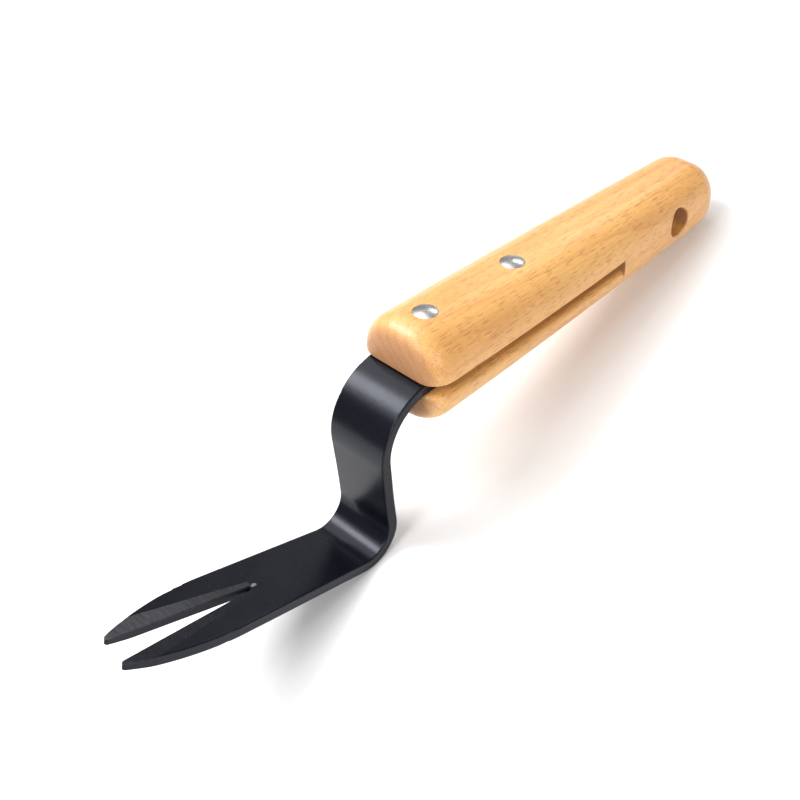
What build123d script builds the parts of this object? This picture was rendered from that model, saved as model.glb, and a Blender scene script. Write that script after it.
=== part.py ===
from build123d import *
import math
import os

# A riveted hand weeder. It is drawn in the handle's own frame: X = 0 at the handle's front face with +X
# towards the fork, Y across, Z = 0 at the middle of the steel. At the end every piece is turned and moved
# alike, so that the weeder lies on its heel and the rear of its handle, with +Z up.

# ---- handle, beech ----
handle_length = 130.0
front_width, middle_width, rear_width = 29.6, 28.2, 21.6
front_depth, middle_depth, rear_depth = 30.4, 24.0, 21.6
front_corner, middle_corner, rear_corner = 12.9, 10.7, 9.4
section_count = 7
front_round = 6.8
rear_round = 8.8
slot_length = 79.8
slot_upper_round = 0.7
slot_lower_round = 1.9

# ---- hang hole, across the handle ----
hang_hole_radius = 4.4
hang_hole_setback = 22.4
hang_hole_rise = 0.8
hang_hole_rim_round = 0.6

# ---- steel strip ----
steel = 3.2
kerf_gap = 0.25
tang_end_gap = 2.3
tang_width = 20.4
tang_corner = 3.0
bend_setback = 2.6
upper_bend_radius = 16.6
upper_bend_angle = 93.7
neck_length = 20.4
neck_width = 19.4
heel_bend_radius = 9.2
heel_bend_angle = 108.6
heel_width = 19.6
waist_share = 0.85
edge_round = 0.5

# ---- fork ----
fork_length = 77.2
left_tine_extra = 2.1
fork_width = 22.6
nose_radius = 90.0
notch_length = 45.3
notch_mouth = 8.9
notch_end_radius = 0.65
tip_round = 0.75
tip_bevel_length = 6.2
tip_bevel_depth = 1.0
tip_relief_length = 12.0
tip_relief_depth = 1.2
grind_root_width = 1.7
grind_tip_width = 5.6
grind_depth = 0.45

# ---- cutlery rivets, a post above and a socket below ----
rivet_setbacks = {"front": 11.7, "rear": 46.0}
head_radius = 3.5
head_rim = 1.1
head_sink = 0.12
head_dome = 0.5
post_radius = 1.6
socket_radius = 2.4
socket_past_steel = 3.0
post_end_gap = 1.5
post_fit = 0.05
shank_fit = 0.08
head_fit = 0.05

# ---- worked out ----
half_steel = steel / 2
tang_length = slot_length - tang_end_gap
left_tine_length = fork_length + left_tine_extra
slot_top = half_steel
slot_floor = -half_steel - kerf_gap
past = 5.0
long_edge = 1.5 * steel
near_enough = 0.01
settling_rounds = 8


def along(setback, front, middle, rear):
    """A size of the handle's section at a distance behind the front face: a parabola through three."""
    share = setback / handle_length
    return front + share * (4 * middle - 3 * front - rear) + share**2 * (2 * front - 4 * middle + 2 * rear)


def handle_width(setback):
    return along(setback, front_width, middle_width, rear_width)


def handle_depth(setback):
    return along(setback, front_depth, middle_depth, rear_depth)


def handle_section(setback):
    corner = along(setback, front_corner, middle_corner, rear_corner)
    plane = Plane(origin=(-setback, 0, 0), x_dir=(0, 1, 0), z_dir=(-1, 0, 0))
    return plane * RectangleRounded(handle_width(setback), handle_depth(setback), corner)


def handle_blank():
    """The shaped beech blank, its two ends rounded over."""
    setbacks = [handle_length * index / (section_count - 1) for index in range(section_count)]
    blank = loft([handle_section(setback) for setback in setbacks])
    blank = fillet(blank.faces().sort_by(Axis.X)[-1].edges(), front_round)
    return fillet(blank.faces().sort_by(Axis.X)[0].edges(), rear_round)


def upright(x, radius, low, high):
    """A cylinder along Z between two heights."""
    return Pos(x, 0, (low + high) / 2) * Cylinder(radius, high - low)


def head_seat(setback):
    """Height of the flat floor a rivet head is let down to, which leaves its rim just under the wood."""
    return handle_depth(setback) / 2 - head_rim - head_sink


def slot_cutter():
    length = slot_length + past
    height = slot_top - slot_floor
    return Pos(past - length / 2, 0, (slot_top + slot_floor) / 2) * Box(length, 2 * front_width, height)


def slot_mouth_edges(body, level):
    """Edges where one of the slot's two faces meets the outside of the handle, without the end wall's."""
    picked = []
    for edge in body.edges():
        box = edge.bounding_box()
        in_face = max(abs(box.min.Z - level), abs(box.max.Z - level)) < near_enough
        end_wall = box.max.X < near_enough - slot_length
        if in_face and not end_wall:
            picked.append(edge)
    return picked


def hang_hole_rim_edges(body):
    """The hang hole's two mouths, each in as many edges as the wood's faces split it into."""
    centre = hang_hole_setback - handle_length
    reach = hang_hole_radius + near_enough
    picked = []
    for edge in body.edges():
        box = edge.bounding_box()
        beside = max(abs(box.min.X - centre), abs(box.max.X - centre)) < reach
        level = max(abs(box.min.Z - hang_hole_rise), abs(box.max.Z - hang_hole_rise)) < reach
        mouth = box.size.Y < hang_hole_radius and abs(box.center().Y) > rear_width / 4
        if beside and level and mouth:
            picked.append(edge)
    return picked


def make_handle():
    body = handle_blank() - slot_cutter()
    body = fillet(slot_mouth_edges(body, slot_top), slot_upper_round)
    body = fillet(slot_mouth_edges(body, slot_floor), slot_lower_round)
    hole = Rot(90, 0, 0) * Cylinder(hang_hole_radius, 2 * front_width)
    body -= Pos(hang_hole_setback - handle_length, 0, hang_hole_rise) * hole
    body = fillet(hang_hole_rim_edges(body), hang_hole_rim_round)
    for setback in rivet_setbacks.values():
        seat = head_seat(setback)
        body -= upright(-setback, socket_radius + shank_fit, -seat, seat)
        body -= upright(-setback, head_radius + head_fit, seat, seat + past)
        body -= upright(-setback, head_radius + head_fit, -seat - past, -seat)
    return body


def strip_line(offset):
    """One face of the strip in side view, from the tang's rear end to the end of the heel bend."""
    tang = Line((-tang_length, offset), (-bend_setback, offset))
    upper = JernArc(tang @ 1, tang % 1, upper_bend_radius + offset, -upper_bend_angle)
    neck = Line(upper @ 1, upper @ 1 + (upper % 1) * neck_length)
    heel = JernArc(neck @ 1, neck % 1, heel_bend_radius - offset, heel_bend_angle)
    return [tang, upper, neck, heel]


def neck_outline(top, bottom):
    """The strip seen from the front: tang width at the top, waisted at the neck, then the heel's width."""
    waist = -upper_bend_radius - waist_share * neck_length
    low_bend = -upper_bend_radius - neck_length - heel_bend_radius / 2
    right = Polyline((0, top), (tang_width / 2, top), (tang_width / 2, -upper_bend_radius / 2))
    curve = Spline(
        [right @ 1, (neck_width / 2, waist), (heel_width / 2, low_bend)],
        tangents=[(0, -1), (0, -1)],
    )
    left = Polyline(curve @ 1, (heel_width / 2, bottom), (0, bottom), (0, top))
    half = make_face(right.edges() + curve.edges() + left.edges())
    return half + mirror(half, about=Plane.YZ)


def make_shank(heel_end):
    """Tang, upper bend, neck and heel bend, bent from one strip."""
    upper, lower = strip_line(half_steel), strip_line(-half_steel)
    ends = [Line(upper[0] @ 0, lower[0] @ 0), Line(upper[-1] @ 1, lower[-1] @ 1)]
    side_view = Plane.XZ * make_face(Curve() + upper + lower + ends)
    strip = extrude(side_view, fork_width, both=True)
    top, bottom = steel, heel_end.Z - 2 * heel_bend_radius
    facing = Plane(origin=(-tang_length - past, 0, 0), x_dir=(0, 1, 0), z_dir=(1, 0, 0))
    prism = extrude(facing * neck_outline(top, bottom), tang_length + 4 * upper_bend_radius)
    return strip & prism


def fork_plane():
    """The strip's mid-plane at the end of the heel bend: x along the fork, y across, z out of its top."""
    heel = strip_line(0)[-1]
    end, ahead = heel @ 1, heel % 1
    return Plane(origin=(end.X, 0, end.Y), x_dir=(ahead.X, 0, ahead.Y), z_dir=(-ahead.Y, 0, ahead.X))


def notch_centre():
    """Distance from the heel to the centre of the notch's round end."""
    return fork_length - notch_length + notch_end_radius


def notch_half_width(distance):
    """Half the notch's width at a distance from the heel, on its straight sides."""
    share = (distance - notch_centre()) / (fork_length - notch_centre())
    return notch_end_radius + (notch_mouth / 2 - notch_end_radius) * share


def notch_outline():
    """A narrow V with a round end, open at the tips."""
    near, far = notch_centre(), left_tine_length + past
    corners = [(near, notch_end_radius), (far, notch_half_width(far))]
    corners += [(x, -y) for x, y in reversed(corners)]
    wedge = make_face(Polyline(*corners, close=True))
    return wedge + Pos(near, 0) * Circle(notch_end_radius)


def fork_half(length):
    """One side of the fork seen square on, from the heel: a widening edge, then the nose's long curve."""
    tip = notch_half_width(length)
    nose_drop = fork_width / 2 - tip
    nose_length = math.sqrt(nose_radius**2 - (nose_radius - nose_drop) ** 2)
    side = Line((0, heel_width / 2), (length - nose_length, fork_width / 2))
    nose = RadiusArc(side @ 1, (length, tip), nose_radius)
    close = Polyline(nose @ 1, (length, 0), (0, 0), (0, heel_width / 2))
    return make_face(side.edges() + nose.edges() + close.edges())


def fork_outline():
    """Both tines, the left one a little longer, with the notch between them and blunted tips."""
    right = mirror(fork_half(fork_length), about=Plane.XZ)
    outline = fork_half(left_tine_length) + right - notch_outline()
    return fillet(outline.vertices().sort_by(Axis.X)[-2:], tip_round)


def grind_section(distance, width, side):
    """The inner bevel's cutter where it crosses one tine: deepest at the notch, nothing at its width."""
    inner = notch_half_width(distance)
    floor = half_steel - grind_depth * (width + inner) / grind_tip_width
    corners = [
        Vector(distance, side * (inner + width), half_steel),
        Vector(distance, side * (inner + width), half_steel + past),
        Vector(distance, 0, half_steel + past),
        Vector(distance, 0, floor),
    ]
    return make_face(Polyline(corners, close=True))


def grind_cutter(side):
    """The bevel ground along one side of the notch, from the notch's end to the tip."""
    root = grind_section(fork_length - notch_length, grind_root_width, side)
    tip = grind_section(left_tine_length, grind_tip_width, side)
    return loft([root, tip], ruled=True)


def tip_cutter(side, length, face, bevel_length, bevel_depth):
    """Thins one tine's tip from its upper face, 1, or its underside, -1."""
    start = length - bevel_length
    corners = [
        (start, face * half_steel),
        (start, face * (half_steel + past)),
        (length, face * (half_steel + past)),
        (length, face * (half_steel - bevel_depth)),
    ]
    wedge = Plane.XZ * make_face(Polyline(*corners, close=True))
    return extrude(wedge, fork_width, dir=(0, side, 0))


def rim_edges(body):
    """The long edges round both faces of the strip, without those that cross it or run through it."""
    return [
        edge
        for edge in body.edges() - body.edges().filter_by(Axis.Y)
        if edge.geom_type != GeomType.LINE or edge.length > long_edge
    ]


def make_blade():
    plane = fork_plane()
    body = make_shank(plane.origin) + plane * extrude(fork_outline(), half_steel, both=True)
    body = fillet(body.edges().filter_by(Axis.Z).group_by(Axis.X)[0], tang_corner)
    body = fillet(rim_edges(body), edge_round)
    for side, length in ((1, left_tine_length), (-1, fork_length)):
        body -= plane * grind_cutter(side)
        body -= plane * tip_cutter(side, length, 1, tip_bevel_length, tip_bevel_depth)
        body -= plane * tip_cutter(side, length, -1, tip_relief_length, tip_relief_depth)
    for setback in rivet_setbacks.values():
        body -= upright(-setback, socket_radius + shank_fit, -steel, steel)
    return body


def head(radius, seat):
    """A rivet's domed head, its flat underside at a height, rim first and then the crown."""
    sphere = (radius**2 + head_dome**2) / (2 * head_dome)
    rim = upright(0, radius, seat, seat + head_rim)
    crown = Pos(0, 0, seat + head_rim + head_dome - sphere) * Sphere(sphere)
    above = upright(0, radius, seat + head_rim, seat + head_rim + head_dome)
    return rim + (crown & above)


def make_post(setback):
    """Upper half of a rivet: head on top, solid shank down into the socket."""
    seat = head_seat(setback)
    shank = upright(0, post_radius, post_end_gap - seat, seat)
    return Pos(-setback, 0, 0) * (head(head_radius, seat) + shank)


def make_socket(setback):
    """Lower half of a rivet: head below, tubular shank up through the steel."""
    seat = head_seat(setback)
    flipped = Rot(180, 0, 0) * head(head_radius, seat)
    tube = upright(0, socket_radius, -seat, half_steel + socket_past_steel)
    bore = upright(0, post_radius + post_fit, -seat, half_steel + socket_past_steel)
    return Pos(-setback, 0, 0) * (flipped + (tube - bore))


def rest_pitch(handle, blade):
    """The angle that brings the heel and the rear of the handle down onto one level."""
    pitch = 0.0
    reach = handle_length + upper_bend_radius
    for _ in range(settling_rounds):
        turn = Rot(0, -pitch, 0)
        step = (turn * handle).bounding_box().min.Z - (turn * blade).bounding_box().min.Z
        pitch += math.degrees(math.atan(step / reach))
    return pitch


pieces = {"handle": make_handle(), "blade": make_blade()}
for place, setback in rivet_setbacks.items():
    pieces["rivet_post_" + place] = make_post(setback)
    pieces["rivet_socket_" + place] = make_socket(setback)

pitch = rest_pitch(pieces["handle"], pieces["blade"])
turn = Rot(0, -pitch, 0)
box = Compound([turn * piece for piece in pieces.values()]).bounding_box()
to_table = Pos(-box.center().X, -box.center().Y, -box.min.Z) * turn

os.makedirs("parts", exist_ok=True)
for name, piece in pieces.items():
    placed = to_table * piece
    placed.label = name
    export_step(placed, f"parts/{name}.step")

hang_hole = to_table * Pos(hang_hole_setback - handle_length, 0, hang_hole_rise)
print("overall size:", box.size)
print("pitch of the handle, degrees:", pitch)
print("hang hole:", hang_hole.position)
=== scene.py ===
import math
import bpy
from mathutils import Matrix, Vector


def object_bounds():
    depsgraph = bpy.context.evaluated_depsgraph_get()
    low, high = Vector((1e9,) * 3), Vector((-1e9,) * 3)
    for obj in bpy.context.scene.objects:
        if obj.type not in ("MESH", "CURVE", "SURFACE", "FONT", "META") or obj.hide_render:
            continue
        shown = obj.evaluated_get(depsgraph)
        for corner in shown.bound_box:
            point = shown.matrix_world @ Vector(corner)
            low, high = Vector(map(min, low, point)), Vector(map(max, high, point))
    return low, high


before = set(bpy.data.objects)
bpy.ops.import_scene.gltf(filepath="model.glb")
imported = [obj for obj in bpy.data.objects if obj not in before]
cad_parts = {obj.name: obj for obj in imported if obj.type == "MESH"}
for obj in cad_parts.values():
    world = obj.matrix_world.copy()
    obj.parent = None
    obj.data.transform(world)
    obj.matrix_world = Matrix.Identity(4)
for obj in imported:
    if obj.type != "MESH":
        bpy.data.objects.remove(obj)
cad_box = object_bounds()


# ---- Handle ----
# One billet of steamed beech, turned oval and sanded, sawn up the middle to take the steel and cross drilled
# for a hanging cord. It is dipped in clear lacquer, which the end grain drinks and the saw slot hardly gets.

# where the middle of its front end is, in metres, and how far it leans back
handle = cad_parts["handle"]
handle_front = Vector((0.01190, 0.0, 0.04239))
handle_tilt = math.radians(15.12)

# in millimetres, measured from there: the slot, and the growth rings' heart, beside and below the billet
slot_half_height = 1.9
slot_reach = 79.8
slot_inside = 11.2
heart_aside = 31.0
heart_below = 22.0
ring_width = 2.7


def colour(red, green, blue):
    """A colour as a paint card gives it, out of 255, turned into light."""
    shares = [part / 255 for part in (red, green, blue)]
    return [s / 12.92 if s <= 0.04045 else ((s + 0.055) / 1.055) ** 2.4 for s in shares] + [1.0]


light_wood = colour(230, 179, 108)
warm_wood = colour(220, 163, 93)
fibre_brown = colour(200, 137, 74)
late_brown = colour(176, 112, 62)
ray_brown = colour(152, 86, 44)
pore_brown = colour(140, 86, 46)
end_light = colour(178, 128, 88)
end_dark = colour(134, 90, 60)
end_ring_brown = colour(118, 74, 48)
raw_wood_and_shade = colour(196, 140, 88)
sanded_wood = colour(238, 196, 142)


def feed(tree, socket, value):
    """Gives a socket either another node's output or a plain number, colour or vector."""
    if isinstance(value, bpy.types.NodeSocket):
        tree.links.new(value, socket)
    else:
        socket.default_value = value


def place_node(tree, kind, name, **values):
    """Adds a named node, with its inputs given by their titles."""
    made = tree.nodes.new(kind)
    made.name = made.label = name
    for title, value in values.items():
        feed(tree, made.inputs[title.replace("_", " ")], value)
    return made


def calc(tree, name, operation, *values):
    """One sum on plain numbers."""
    step = place_node(tree, "ShaderNodeMath", name)
    step.operation = operation
    for socket, value in zip(step.inputs, values):
        feed(tree, socket, value)
    return step.outputs["Value"]


def vector_calc(tree, name, operation, *values):
    """One sum on places or directions."""
    step = place_node(tree, "ShaderNodeVectorMath", name)
    step.operation = operation
    for socket, value in zip(step.inputs, values):
        feed(tree, socket, value)
    return step.outputs["Value" if operation in ("DOT_PRODUCT", "LENGTH") else "Vector"]


def stretch(tree, name, place, along, across):
    """Scales a place along the part and across it, so that what is drawn there is drawn out."""
    return vector_calc(tree, name + " stretch", "MULTIPLY", place, (along, across, across))


def fade(tree, name, value, start, end, low=0.0, high=1.0):
    """Goes softly from low to high as the value goes from start to end."""
    step = place_node(tree, "ShaderNodeMapRange", name, Value=value)
    step.interpolation_type = "SMOOTHSTEP"
    for title, number in zip(("From Min", "From Max", "To Min", "To Max"), (start, end, low, high)):
        feed(tree, step.inputs[title], number)
    return step.outputs["Result"]


def mix(tree, name, share, first, second):
    """Blends two colours. Inputs 6 and 7 and output 2 are the mix node's colour sockets."""
    step = place_node(tree, "ShaderNodeMix", name)
    step.data_type = "RGBA"
    feed(tree, step.inputs["Factor"], share)
    feed(tree, step.inputs[6], first)
    feed(tree, step.inputs[7], second)
    return step.outputs[2]


def tint(tree, name, mask, strength, base, over):
    """Lays a colour over another where a mask is, at no more than a given strength."""
    share = calc(tree, name + " share", "MULTIPLY", mask, strength)
    return mix(tree, name + " tone", share, base, over)


def cloud(tree, name, place, scale, detail=3.0, roughness=0.5):
    """Soft noise from 0 to 1."""
    step = place_node(tree, "ShaderNodeTexNoise", name, Vector=place, Scale=scale, Detail=detail)
    step.inputs["Roughness"].default_value = roughness
    return step.outputs["Fac"]


def axes(tree, name, place):
    """Splits a place into how far along, across and up it is."""
    step = place_node(tree, "ShaderNodeSeparateXYZ", name, Vector=place)
    return step.outputs["X"], step.outputs["Y"], step.outputs["Z"]


def tilted_place(tree, name, origin, tilt):
    """Millimetres along, across and above a part that leans back by an angle."""
    where = place_node(tree, "ShaderNodeTexCoord", name + " coordinates")
    moved = vector_calc(tree, name + " from its origin", "SUBTRACT", where.outputs["Object"], origin)
    turned = place_node(tree, "ShaderNodeVectorRotate", name + " laid level", Vector=moved, Angle=tilt)
    turned.rotation_type = "Y_AXIS"
    level = turned.outputs["Vector"]
    return vector_calc(tree, name + " in millimetres", "MULTIPLY", level, (1000, 1000, 1000))


def new_group(name, takes, gives):
    """An empty node group: what it takes and gives, each as a name, a kind and a starting value."""
    group = bpy.data.node_groups.new(name, "ShaderNodeTree")
    for way, sockets in (("INPUT", takes), ("OUTPUT", gives)):
        for title, kind, start in sockets:
            made = group.interface.new_socket(name=title, in_out=way, socket_type="NodeSocket" + kind)
            if start is not None:
                made.default_value = start
    return group, group.nodes.new("NodeGroupInput").outputs, group.nodes.new("NodeGroupOutput").inputs


def use_group(tree, group, name, **values):
    """Puts a node group into a material, with its inputs given by their titles."""
    made = tree.nodes.new("ShaderNodeGroup")
    made.node_tree = group
    made.name = made.label = name
    for title, value in values.items():
        feed(tree, made.inputs[title.replace("_", " ")], value)
    return made.outputs


def worn_edges_group():
    """Where a rounded-over edge would turn away from the surface, broken up as handling wears it."""
    takes = [("Place", "Vector", None), ("Width", "Float", 0.0006), ("Patch Size", "Float", 0.4)]
    group, given, out = new_group("worn edges", takes, [("Worn", "Float", None)])
    rounded = place_node(group, "ShaderNodeBevel", "rounded over", Radius=given["Width"])
    rounded.samples = 6
    flat = place_node(group, "ShaderNodeNewGeometry", "surface")
    match = vector_calc(group, "match", "DOT_PRODUCT", rounded.outputs["Normal"], flat.outputs["Normal"])
    edge = fade(group, "edge", match, 0.995, 0.93)
    patches = cloud(group, "patches", given["Place"], given["Patch Size"], 4.0, 0.65)
    broken = fade(group, "broken up", patches, 0.38, 0.62, 0.25, 1.0)
    group.links.new(calc(group, "worn", "MULTIPLY", edge, broken), out["Worn"])
    return group


def handled_group():
    """Faint finger smears and hairline scratches that lie in two directions."""
    takes = [("Place", "Vector", None), ("Smear Size", "Float", 0.06), ("Scratch Reach", "Float", 14.0)]
    gives = [("Smears", "Float", None), ("Scratches", "Float", None)]
    group, given, out = new_group("handling marks", takes, gives)
    smears = cloud(group, "smears", given["Place"], given["Smear Size"], 5.0, 0.6)
    group.links.new(fade(group, "soft smears", smears, 0.3, 0.7), out["Smears"])
    total = 0.0
    for name, turn in (("first", 0.5), ("second", -1.1)):
        turned = place_node(group, "ShaderNodeVectorRotate", name + " way", Vector=given["Place"], Angle=turn)
        turned.rotation_type = "Z_AXIS"
        along, across, up = axes(group, name + " split", turned.outputs["Vector"])
        short = calc(group, name + " reach", "DIVIDE", along, given["Scratch Reach"])
        drawn = place_node(group, "ShaderNodeCombineXYZ", name + " drawn out", X=short, Y=across, Z=up)
        lines = cloud(group, name + " lines", drawn.outputs["Vector"], 2.4, 2.0, 0.6)
        hair = fade(group, name + " hairlines", lines, 0.69, 0.74)
        total = calc(group, name + " added", "MAXIMUM", total, hair)
    group.links.new(total, out["Scratches"])
    return group


def new_material(name):
    """An empty material with its finish already joined to the surface."""
    material = bpy.data.materials.new(name)
    material.use_nodes = True
    tree = material.node_tree
    tree.nodes.clear()
    shader = place_node(tree, "ShaderNodeBsdfPrincipled", "finish")
    surface = place_node(tree, "ShaderNodeOutputMaterial", "surface")
    tree.links.new(shader.outputs["BSDF"], surface.inputs["Surface"])
    return material, tree, shader


def raised(tree, name, height, distance, strength=1.0, normal=None):
    """A bump of a real height in metres, laid over another if one is given."""
    bump = place_node(tree, "ShaderNodeBump", name, Height=height, Distance=distance, Strength=strength)
    if normal is not None:
        tree.links.new(normal, bump.inputs["Normal"])
    return bump.outputs["Normal"]


def sunk(tree, name, mask, distance, strength, normal):
    """Cuts a mask into the surface to a real depth in metres."""
    depth = calc(tree, name + " depth", "SUBTRACT", 1.0, mask)
    return raised(tree, name + " cut in", depth, distance, strength, normal)


def finish(node, material):
    """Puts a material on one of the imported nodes."""
    node.data.materials.clear()
    node.data.materials.append(material)


worn_edges = worn_edges_group()
handling_marks = handled_group()


def lacquered_beech():
    material, tree, shader = new_material("lacquered beech")
    place = tilted_place(tree, "handle", handle_front, handle_tilt)
    along, across, up = axes(tree, "grain directions", place)

    # growth rings round the heart, wandering a little
    drift = cloud(tree, "ring drift", stretch(tree, "drift", place, 0.010, 0.05), 1.0)
    wander = calc(tree, "ring wander", "MULTIPLY_ADD", drift, 9.0, -4.5)
    aside = calc(tree, "from heart sideways", "ADD", across, heart_aside)
    below = calc(tree, "from heart upwards", "ADD", up, heart_below)
    heart = place_node(tree, "ShaderNodeCombineXYZ", "from heart", X=aside, Y=below)
    reach = vector_calc(tree, "reach", "LENGTH", heart.outputs["Vector"])
    radius = calc(tree, "ring radius", "ADD", reach, wander)
    ring = calc(tree, "place in ring", "FRACT", calc(tree, "ring count", "DIVIDE", radius, ring_width))
    late_rise = calc(tree, "late wood rise", "POWER", ring, 3.0)
    late_wood = calc(tree, "late wood", "MULTIPLY", late_rise, fade(tree, "late wood end", ring, 1.0, 0.9))

    # short dark rays, spindles that lie along the grain
    fleck = 0.0
    for name, drawn_along, drawn_across in (("long rays", 0.14, 2.3), ("short rays", 0.28, 3.2)):
        ray_place = stretch(tree, name, place, drawn_along, drawn_across)
        rays = place_node(tree, "ShaderNodeTexVoronoi", name, Vector=ray_place, Scale=1.0, Randomness=1.0)
        spindle = fade(tree, name + " body", rays.outputs["Distance"], 0.31, 0.22)
        pick = place_node(tree, "ShaderNodeSeparateColor", name + " pick", Color=rays.outputs["Color"])
        strong = fade(tree, name + " strength", pick.outputs["Red"], 0.35, 0.7)
        shown = calc(tree, name + " shown", "MULTIPLY", spindle, strong)
        fleck = calc(tree, name + " added", "MAXIMUM", fleck, shown)

    # open pores as fine dark strokes, long fibres, and broad patches of tone
    pore_strokes = cloud(tree, "pore strokes", stretch(tree, "pore", place, 0.35, 7.0), 1.0, 2.0, 0.6)
    pore = fade(tree, "pores", pore_strokes, 0.52, 0.72)
    fibre = cloud(tree, "fibres", stretch(tree, "fibre", place, 0.035, 2.6), 1.0, 4.0, 0.6)
    patch = cloud(tree, "broad patches", stretch(tree, "patch", place, 0.015, 0.06), 1.0, 2.0)

    tone = mix(tree, "wood tone", fade(tree, "patch tone", patch, 0.3, 0.7), light_wood, warm_wood)
    tone = mix(tree, "fibre tone", fade(tree, "fibre share", fibre, 0.35, 0.7, 0.0, 0.45), tone, fibre_brown)
    tone = tint(tree, "late wood", late_wood, 0.35, tone, late_brown)
    tone = tint(tree, "ray", fleck, 0.62, tone, ray_brown)
    tone = tint(tree, "pore", pore, 0.18, tone, pore_brown)

    # end grain drinks the lacquer and goes darker and greyer
    surface = place_node(tree, "ShaderNodeNewGeometry", "wood surface")
    grain_axis = (math.cos(handle_tilt), 0.0, math.sin(handle_tilt))
    facing = vector_calc(tree, "end facing", "DOT_PRODUCT", surface.outputs["True Normal"], grain_axis)
    end_grain = fade(tree, "end grain", calc(tree, "either end", "ABSOLUTE", facing), 0.55, 0.98)
    end_pores = cloud(tree, "end pores", stretch(tree, "speck", place, 0.6, 5.0), 1.0, 3.0, 0.7)
    end_tone = mix(tree, "end tone", fade(tree, "end specks", end_pores, 0.4, 0.7), end_light, end_dark)
    end_tone = tint(tree, "end ring", late_wood, 0.3, end_tone, end_ring_brown)
    tone = tint(tree, "end", end_grain, 0.9, tone, end_tone)

    # raw wood in the saw slot, its tone darkened as painted shade in the recess, and edges that sanding left
    # paler
    height = calc(tree, "height from the steel", "ABSOLUTE", up)
    level = fade(tree, "level with the slot", height, slot_half_height + 0.3, slot_half_height)
    sideways = calc(tree, "from the middle", "ABSOLUTE", across)
    inner = fade(tree, "inside the handle", sideways, slot_inside + 1.2, slot_inside)
    ahead = fade(tree, "ahead of the slot end", along, -slot_reach - 0.3, -slot_reach)
    in_slot = calc(tree, "in the slot", "MULTIPLY", calc(tree, "slot sides", "MULTIPLY", level, inner), ahead)
    worn = use_group(tree, worn_edges, "sanded edges", Place=place, Width=0.0012, Patch_Size=0.3)["Worn"]
    # painted shade: the slot's faces are tinted darker, over the raw wood's own tone
    tone = tint(tree, "slot", in_slot, 0.35, tone, raw_wood_and_shade)
    tone = tint(tree, "pale edge", worn, 0.3, tone, sanded_wood)
    feed(tree, shader.inputs["Base Color"], tone)

    # satin wood under a thin coat, duller in the pores, on the ends and in the slot
    marks = use_group(tree, handling_marks, "hand marks", Place=place, Smear_Size=0.09, Scratch_Reach=18.0)
    gloss = calc(tree, "smear gloss", "MULTIPLY_ADD", marks["Smears"], 0.08, 0.4)
    gloss = calc(tree, "pore gloss", "MULTIPLY_ADD", pore, 0.1, gloss)
    gloss = calc(tree, "end gloss", "MULTIPLY_ADD", end_grain, 0.16, gloss)
    feed(tree, shader.inputs["Roughness"], calc(tree, "slot gloss", "MULTIPLY_ADD", in_slot, 0.2, gloss))
    thirsty = calc(tree, "thirsty ends", "MULTIPLY", end_grain, 0.6)
    bare = calc(tree, "bare wood", "MAXIMUM", in_slot, thirsty)
    feed(tree, shader.inputs["Coat Weight"], calc(tree, "lacquer", "MULTIPLY_ADD", bare, -0.35, 0.42))
    shader.inputs["Coat Roughness"].default_value = 0.28
    shader.inputs["Coat IOR"].default_value = 1.5
    shader.inputs["IOR"].default_value = 1.45

    normal = raised(tree, "ripple", cloud(tree, "lacquer ripple", place, 0.35, 2.0, 0.5), 0.00012, 0.25)
    normal = raised(tree, "fibre bump", fibre, 0.00003, 0.5, normal)
    normal = sunk(tree, "pores", pore, 0.00003, 0.6, normal)
    normal = sunk(tree, "rays", fleck, 0.00002, 0.4, normal)
    feed(tree, shader.inputs["Normal"], normal)
    return material


finish(handle, lacquered_beech())


# ---- Blade ----
# A single strip of spring steel, blanked, notched into two tines and bent twice, with a bevel ground along
# each side of the notch before it was dipped in gloss black. Its tang is held in the handle by the rivets.

# where the fork leaves the heel bend, in metres, and how steeply it rises
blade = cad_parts["blade"]
fork_heel = Vector((0.04766, 0.0, 0.00283))
fork_rise = math.radians(30.02)

# in millimetres along and above the fork: the notch, and the line where the bevels stop, which spreads
notch_start = 31.9
bevel_edge_at_heel = -3.04
bevel_edge_spread = 0.1673
top_face = 1.6

black_coat = colour(9, 10, 16)
grey_coat = colour(15, 16, 24)
bevel_sheen_grey = colour(26, 26, 30)
wheel_mark_sheen_grey = colour(72, 72, 76)
glint_grey = colour(112, 112, 118)
thin_coat = colour(66, 66, 72)
scratch_grey = colour(84, 84, 92)


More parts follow.
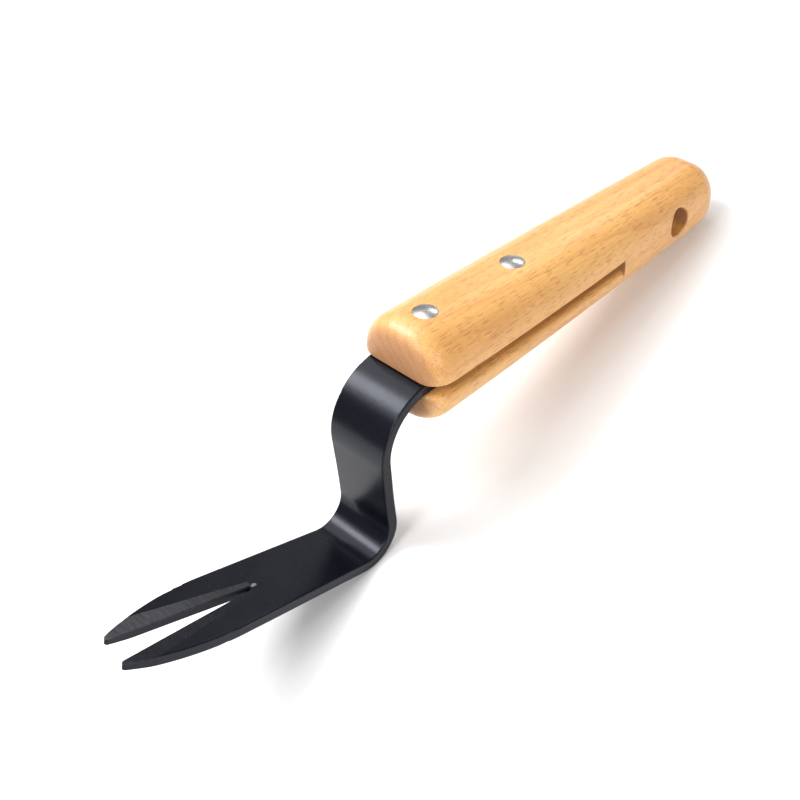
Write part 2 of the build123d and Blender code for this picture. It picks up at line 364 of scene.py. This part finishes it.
def black_dip():
    material, tree, shader = new_material("black dip coat")
    place = tilted_place(tree, "fork", fork_heel, fork_rise)
    along, across, up = axes(tree, "fork directions", place)

    # the ground bevels: inside the line where the grinder stopped, on the upper face
    sideways = calc(tree, "from the middle", "ABSOLUTE", across)
    wobble = cloud(tree, "grinder wobble", stretch(tree, "wobble", place, 0.5, 0.1), 1.0)
    wobble = calc(tree, "wobble", "SUBTRACT", wobble, 0.5)
    stop = calc(tree, "bevel line", "MULTIPLY_ADD", along, bevel_edge_spread, bevel_edge_at_heel)
    stop = calc(tree, "bevel line wobble", "MULTIPLY_ADD", wobble, 0.3, stop)
    inside = fade(tree, "inside the line", calc(tree, "to the line", "SUBTRACT", stop, sideways), -0.08, 0.12)
    beyond = fade(tree, "past the notch end", along, notch_start - 0.4, notch_start + 0.3)
    upper = fade(tree, "upper face", up, top_face - 0.75, top_face - 0.6)
    bevel = calc(tree, "bevel", "MULTIPLY", calc(tree, "bevel sides", "MULTIPLY", inside, beyond), upper)

    # the wheel's marks cross the bevel; a painted sheen lightens the bevel and its marks, more on the right
    # tine and towards its tip
    streaks = cloud(tree, "wheel marks", stretch(tree, "streak", place, 5.0, 0.25), 1.0, 4.0, 0.7)
    right_tine_sheen = fade(tree, "painted sheen on the right tine", across, 0.4, -0.4, 0.15, 1.0)
    tipward_sheen = fade(tree, "painted sheen towards the tip", along, notch_start + 4.0, notch_start + 28.0, 0.45, 1.0)
    bevel_with_sheen = calc(tree, "bevel with painted sheen", "MULTIPLY", bevel, calc(tree, "painted sheen spread", "MULTIPLY", right_tine_sheen, tipward_sheen))
    streak = calc(tree, "marks on the bevel", "MULTIPLY", fade(tree, "mark depth", streaks, 0.3, 0.7), bevel_with_sheen)

    fine = cloud(tree, "coat grain", place, 6.0, 3.0, 0.6)

    # a painted glint: a small light grey spot at the end of the notch, where the bevels run out
    glint_centre = (notch_start - 0.7, -0.3, top_face)
    glint_place = vector_calc(tree, "from the nick", "SUBTRACT", place, glint_centre)
    glint_place = vector_calc(tree, "nick stretch", "MULTIPLY", glint_place, (1.1, 1.7, 1.2))
    glint_reach = vector_calc(tree, "nick reach", "LENGTH", glint_place)
    painted_glint = fade(tree, "painted_glint", calc(tree, "ragged", "MULTIPLY_ADD", fine, 1.6, glint_reach), 1.9, 1.4)

    marks = use_group(tree, handling_marks, "shop marks", Place=place, Smear_Size=0.07, Scratch_Reach=9.0)
    worn = use_group(tree, worn_edges, "thin edges", Place=place, Width=0.0005, Patch_Size=0.5)["Worn"]
    tone = mix(tree, "coat tone", fade(tree, "grain share", fine, 0.35, 0.7), black_coat, grey_coat)
    # painted sheen: the bevel and its wheel marks are tinted grey, strongest on the right tine and towards
    # its tip
    tone = tint(tree, "bevel", bevel_with_sheen, 0.8, tone, bevel_sheen_grey)
    tone = tint(tree, "mark", streak, 0.75, tone, wheel_mark_sheen_grey)
    # painted glint: a light grey spot laid over the coat at the end of the notch
    tone = mix(tree, "nick tone", painted_glint, tone, glint_grey)
    tone = tint(tree, "thin coat", worn, 0.3, tone, thin_coat)
    tone = tint(tree, "scratch", marks["Scratches"], 0.05, tone, scratch_grey)
    feed(tree, shader.inputs["Base Color"], tone)

    # gloss over the dip, duller where it was ground or rubbed
    gloss = calc(tree, "smear gloss", "MULTIPLY_ADD", marks["Smears"], 0.05, 0.22)
    gloss = calc(tree, "bevel gloss", "MULTIPLY_ADD", bevel_with_sheen, 0.16, gloss)
    gloss = calc(tree, "mark gloss", "MULTIPLY_ADD", streak, 0.1, gloss)
    gloss = calc(tree, "scratch gloss", "MULTIPLY_ADD", marks["Scratches"], 0.05, gloss)
    feed(tree, shader.inputs["Roughness"], gloss)
    shader.inputs["IOR"].default_value = 1.33
    shader.inputs["Specular Tint"].default_value = (0.84, 0.88, 1.0, 1.0)

    normal = raised(tree, "peel", cloud(tree, "orange peel", place, 1.1, 2.0, 0.5), 0.00006, 0.3)
    normal = raised(tree, "wheel marks bump", streak, 0.00004, 0.6, normal)
    normal = sunk(tree, "scratches", marks["Scratches"], 0.000004, 0.2, normal)
    feed(tree, shader.inputs["Normal"], normal)
    return material


finish(blade, black_dip())


# ---- Rivets ----
# Two nickel plated cutlery rivets. Each is a solid post driven down into a tubular socket, through the wood
# and the tang, until both low domed heads sit just under the surface of the handle.

# how far behind the handle's front each one is, in metres
rivet_setbacks = {"front": 0.0117, "rear": 0.0460}

# where the rim of a head begins and ends, in millimetres from its middle
rim_start = 3.05
rim_end = 3.45

bright_nickel = colour(214, 212, 208)
smeared_nickel = colour(196, 194, 192)
rubbed_nickel = colour(232, 230, 226)
rim_grime = colour(96, 88, 80)


def turned_head_group():
    """Fine rings that turning leaves round the middle of a head, and the rim, which holds grime."""
    takes = [("Place", "Vector", None), ("Rim Start", "Float", 3.05), ("Rim End", "Float", 3.45)]
    group, given, out = new_group("turned head", takes, [("Rings", "Float", None), ("Rim", "Float", None)])
    along, across, up = axes(group, "rivet directions", given["Place"])
    flat = place_node(group, "ShaderNodeCombineXYZ", "flat place", X=along, Y=across)
    reach = vector_calc(group, "from the middle", "LENGTH", flat.outputs["Vector"])
    slow = calc(group, "slow", "MULTIPLY", up, 0.1)
    turning = place_node(group, "ShaderNodeCombineXYZ", "turning place", X=reach, Y=slow)
    rings = cloud(group, "turning marks", turning.outputs["Vector"], 7.0, 3.0, 0.7)
    group.links.new(rings, out["Rings"])
    group.links.new(fade(group, "rim", reach, given["Rim Start"], given["Rim End"]), out["Rim"])
    return group


turned_head = turned_head_group()


def nickel(place_name, setback):
    material, tree, shader = new_material("nickel plate " + place_name)
    centre = handle_front - setback * Vector((math.cos(handle_tilt), 0.0, math.sin(handle_tilt)))
    place = tilted_place(tree, "rivet", centre, handle_tilt)
    head = use_group(tree, turned_head, "turned", Place=place, Rim_Start=rim_start, Rim_End=rim_end)
    rings, rim = head["Rings"], head["Rim"]
    marks = use_group(tree, handling_marks, "tool marks", Place=place, Smear_Size=0.4, Scratch_Reach=6.0)
    worn = use_group(tree, worn_edges, "rubbed rim", Place=place, Width=0.0003, Patch_Size=1.2)["Worn"]
    tone = mix(tree, "plate tone", marks["Smears"], bright_nickel, smeared_nickel)
    tone = tint(tree, "grime", rim, 0.55, tone, rim_grime)
    tone = tint(tree, "rubbed", worn, 0.5, tone, rubbed_nickel)
    feed(tree, shader.inputs["Base Color"], tone)
    shader.inputs["Metallic"].default_value = 1.0
    gloss = calc(tree, "smear gloss", "MULTIPLY_ADD", marks["Smears"], 0.08, 0.22)
    feed(tree, shader.inputs["Roughness"], calc(tree, "rim gloss", "MULTIPLY_ADD", rim, 0.2, gloss))

    normal = raised(tree, "rings", rings, 0.000004, 0.12)
    normal = sunk(tree, "scratches", marks["Scratches"], 0.000004, 0.1, normal)
    feed(tree, shader.inputs["Normal"], normal)
    return material


for rivet_place, rivet_setback in rivet_setbacks.items():
    plate = nickel(rivet_place, rivet_setback)
    for half in ("post", "socket"):
        finish(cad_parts["rivet_" + half + "_" + rivet_place], plate)


# ---- Table and light ----
# A plain white table top and five soft boxes: broad ones overhead and on the far side, and small ones beside,
# ahead of and behind the weeder for its highlights. They only light the weeder and are no part of it.

table_half = 0.62
table_drop = 0.0002
bpy.ops.mesh.primitive_plane_add(size=2 * table_half, location=(0, 0, -table_drop))
table_top = bpy.context.object
table_top.name = "table_top"
material, tree, shader = new_material("white table")
where = place_node(tree, "ShaderNodeTexCoord", "table coordinates")
paper = cloud(tree, "paper", where.outputs["Object"], 900.0, 3.0, 0.6)
paper_tone = mix(tree, "paper tone", paper, colour(243, 243, 243), colour(247, 247, 247))
feed(tree, shader.inputs["Base Color"], paper_tone)
shader.inputs["Roughness"].default_value = 0.75
shader.inputs["Specular IOR Level"].default_value = 0.2
table_top.data.materials.append(material)

weeder_middle = (Vector(cad_box[0]) + Vector(cad_box[1])) / 2

# each soft box's name, place, width, height and watts
soft_boxes = [
    ("overhead_box", (-0.05, -0.42, 0.75), 1.1, 0.7, 6.2),
    ("key_box", (0.13, -0.45, 0.68), 0.26, 0.4, 4.1),
    ("ahead_box", (0.52, 0.02, 0.66), 0.26, 0.26, 2.6),
    ("fill_box", (0.25, 0.9, 0.6), 0.9, 0.6, 6.0),
    ("back_box", (-0.93, -0.43, 0.44), 0.3, 0.14, 0.7),
]
for name, at, wide, tall, watts in soft_boxes:
    data = bpy.data.lights.new(name, "AREA")
    data.shape = "RECTANGLE"
    data.size = wide
    data.size_y = tall
    data.energy = watts
    lamp = bpy.data.objects.new(name, data)
    lamp.location = at
    lamp.rotation_euler = (weeder_middle - Vector(at)).to_track_quat("-Z", "Y").to_euler()
    bpy.context.scene.collection.objects.link(lamp)

# a white backdrop that gives less light than it shows
room_light = 0.31
world = bpy.data.worlds.new("studio air")
bpy.context.scene.world = world
world.use_nodes = True
air = world.node_tree
backdrop = air.nodes["Background"]
backdrop.inputs["Color"].default_value = (1.0, 1.0, 1.0, 1.0)
seen = place_node(air, "ShaderNodeLightPath", "backdrop seen").outputs["Is Camera Ray"]
white = calc(air, "white backdrop", "MULTIPLY_ADD", seen, 1.0 - room_light, room_light)
feed(air, backdrop.inputs["Strength"], white)
bpy.context.scene.view_settings.view_transform = "Standard"


# ---- Camera ----
# It stands above the near side of the fork and is tipped, so that the handle rises to the right.

aim = Vector((0.01313, 0.0, 0.03327))
azimuth = math.radians(58.34)
elevation = math.radians(48.84)
roll = math.radians(19.41)
distance = 0.3878
back = Vector((
    math.cos(azimuth) * math.cos(elevation),
    math.sin(azimuth) * math.cos(elevation),
    math.sin(elevation),
))
right = (-back).cross(Vector((0, 0, 1))).normalized()
down = (-back).cross(right)
side = right * math.cos(roll) + down * math.sin(roll)
foot = down * math.cos(roll) - right * math.sin(roll)
turn = Matrix((side, -foot, back)).transposed().to_4x4()
camera_data = bpy.data.cameras.new("camera")
camera_data.sensor_width = 36.0
camera_data.lens = 65.24
camera = bpy.data.objects.new("camera", camera_data)
camera.matrix_world = Matrix.Translation(aim + back * distance) @ turn
bpy.context.scene.collection.objects.link(camera)
bpy.context.scene.camera = camera
